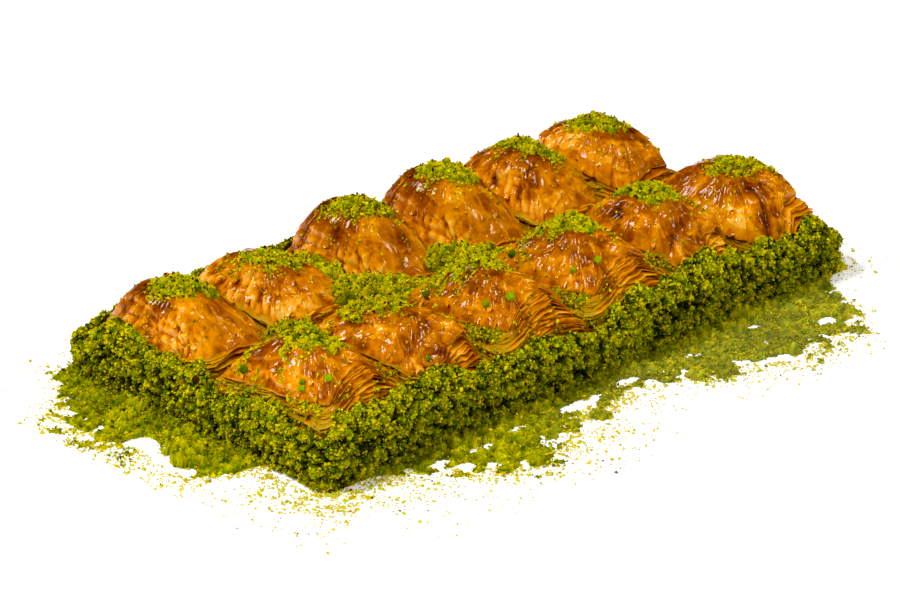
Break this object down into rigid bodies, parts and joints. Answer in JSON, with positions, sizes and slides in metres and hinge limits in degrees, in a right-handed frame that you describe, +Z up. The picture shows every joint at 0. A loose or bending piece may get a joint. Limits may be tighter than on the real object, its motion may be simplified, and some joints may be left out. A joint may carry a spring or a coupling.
{
  "type": "block of baklava pieces",
  "caption": "Rectangular block of cut and puffed flaky pastry pieces, each with a heap of ground pistachio, its sides rolled in pistachio, on a thin strewn bed of it.",
  "frame": {"origin": "under the middle of the whole, on the surface that the food lies on", "axes": "+X along the two rows, +Y from the front row to the back row, +Z up"},
  "size_m": [0.3256, 0.208, 0.0437],
  "materials": {
    "pastry": "baked flaky sheets under a thin clear syrup",
    "pistachio": "moist ground nut",
    "pistachio_dust": "finely ground dry nut"
  },
  "bodies": {
    "root": {"pastry_f1": "pastry", "pastry_f2": "pastry", "pastry_f3": "pastry", "pastry_f4": "pastry", "pastry_f5": "pastry", "pastry_f6": "pastry", "pastry_b1": "pastry", "pastry_b2": "pastry", "pastry_b3": "pastry", "pastry_b4": "pastry", "pastry_b5": "pastry", "pastry_b6": "pastry", "topping_f1": "pistachio", "topping_f2": "pistachio", "topping_f3": "pistachio", "topping_f4": "pistachio", "topping_f5": "pistachio", "topping_f6": "pistachio", "topping_b1": "pistachio", "topping_b2": "pistachio", "topping_b3": "pistachio", "topping_b4": "pistachio", "topping_b5": "pistachio", "topping_b6": "pistachio", "nut_coat_front_1": "pistachio", "nut_coat_front_2": "pistachio", "nut_coat_front_3": "pistachio", "nut_coat_front_4": "pistachio", "nut_coat_front_5": "pistachio", "nut_coat_front_6": "pistachio", "nut_coat_back_1": "pistachio", "nut_coat_back_2": "pistachio", "nut_coat_back_3": "pistachio", "nut_coat_back_4": "pistachio", "nut_coat_back_5": "pistachio", "nut_coat_back_6": "pistachio", "nut_coat_left_front": "pistachio", "nut_coat_left_back": "pistachio", "nut_coat_right_front": "pistachio", "nut_coat_right_back": "pistachio", "cut_heap_1": "pistachio", "cut_heap_2": "pistachio", "cut_heap_3": "pistachio", "cut_heap_4": "pistachio", "pistachio_bed": "pistachio_dust"}
  },
  "joints": []
}
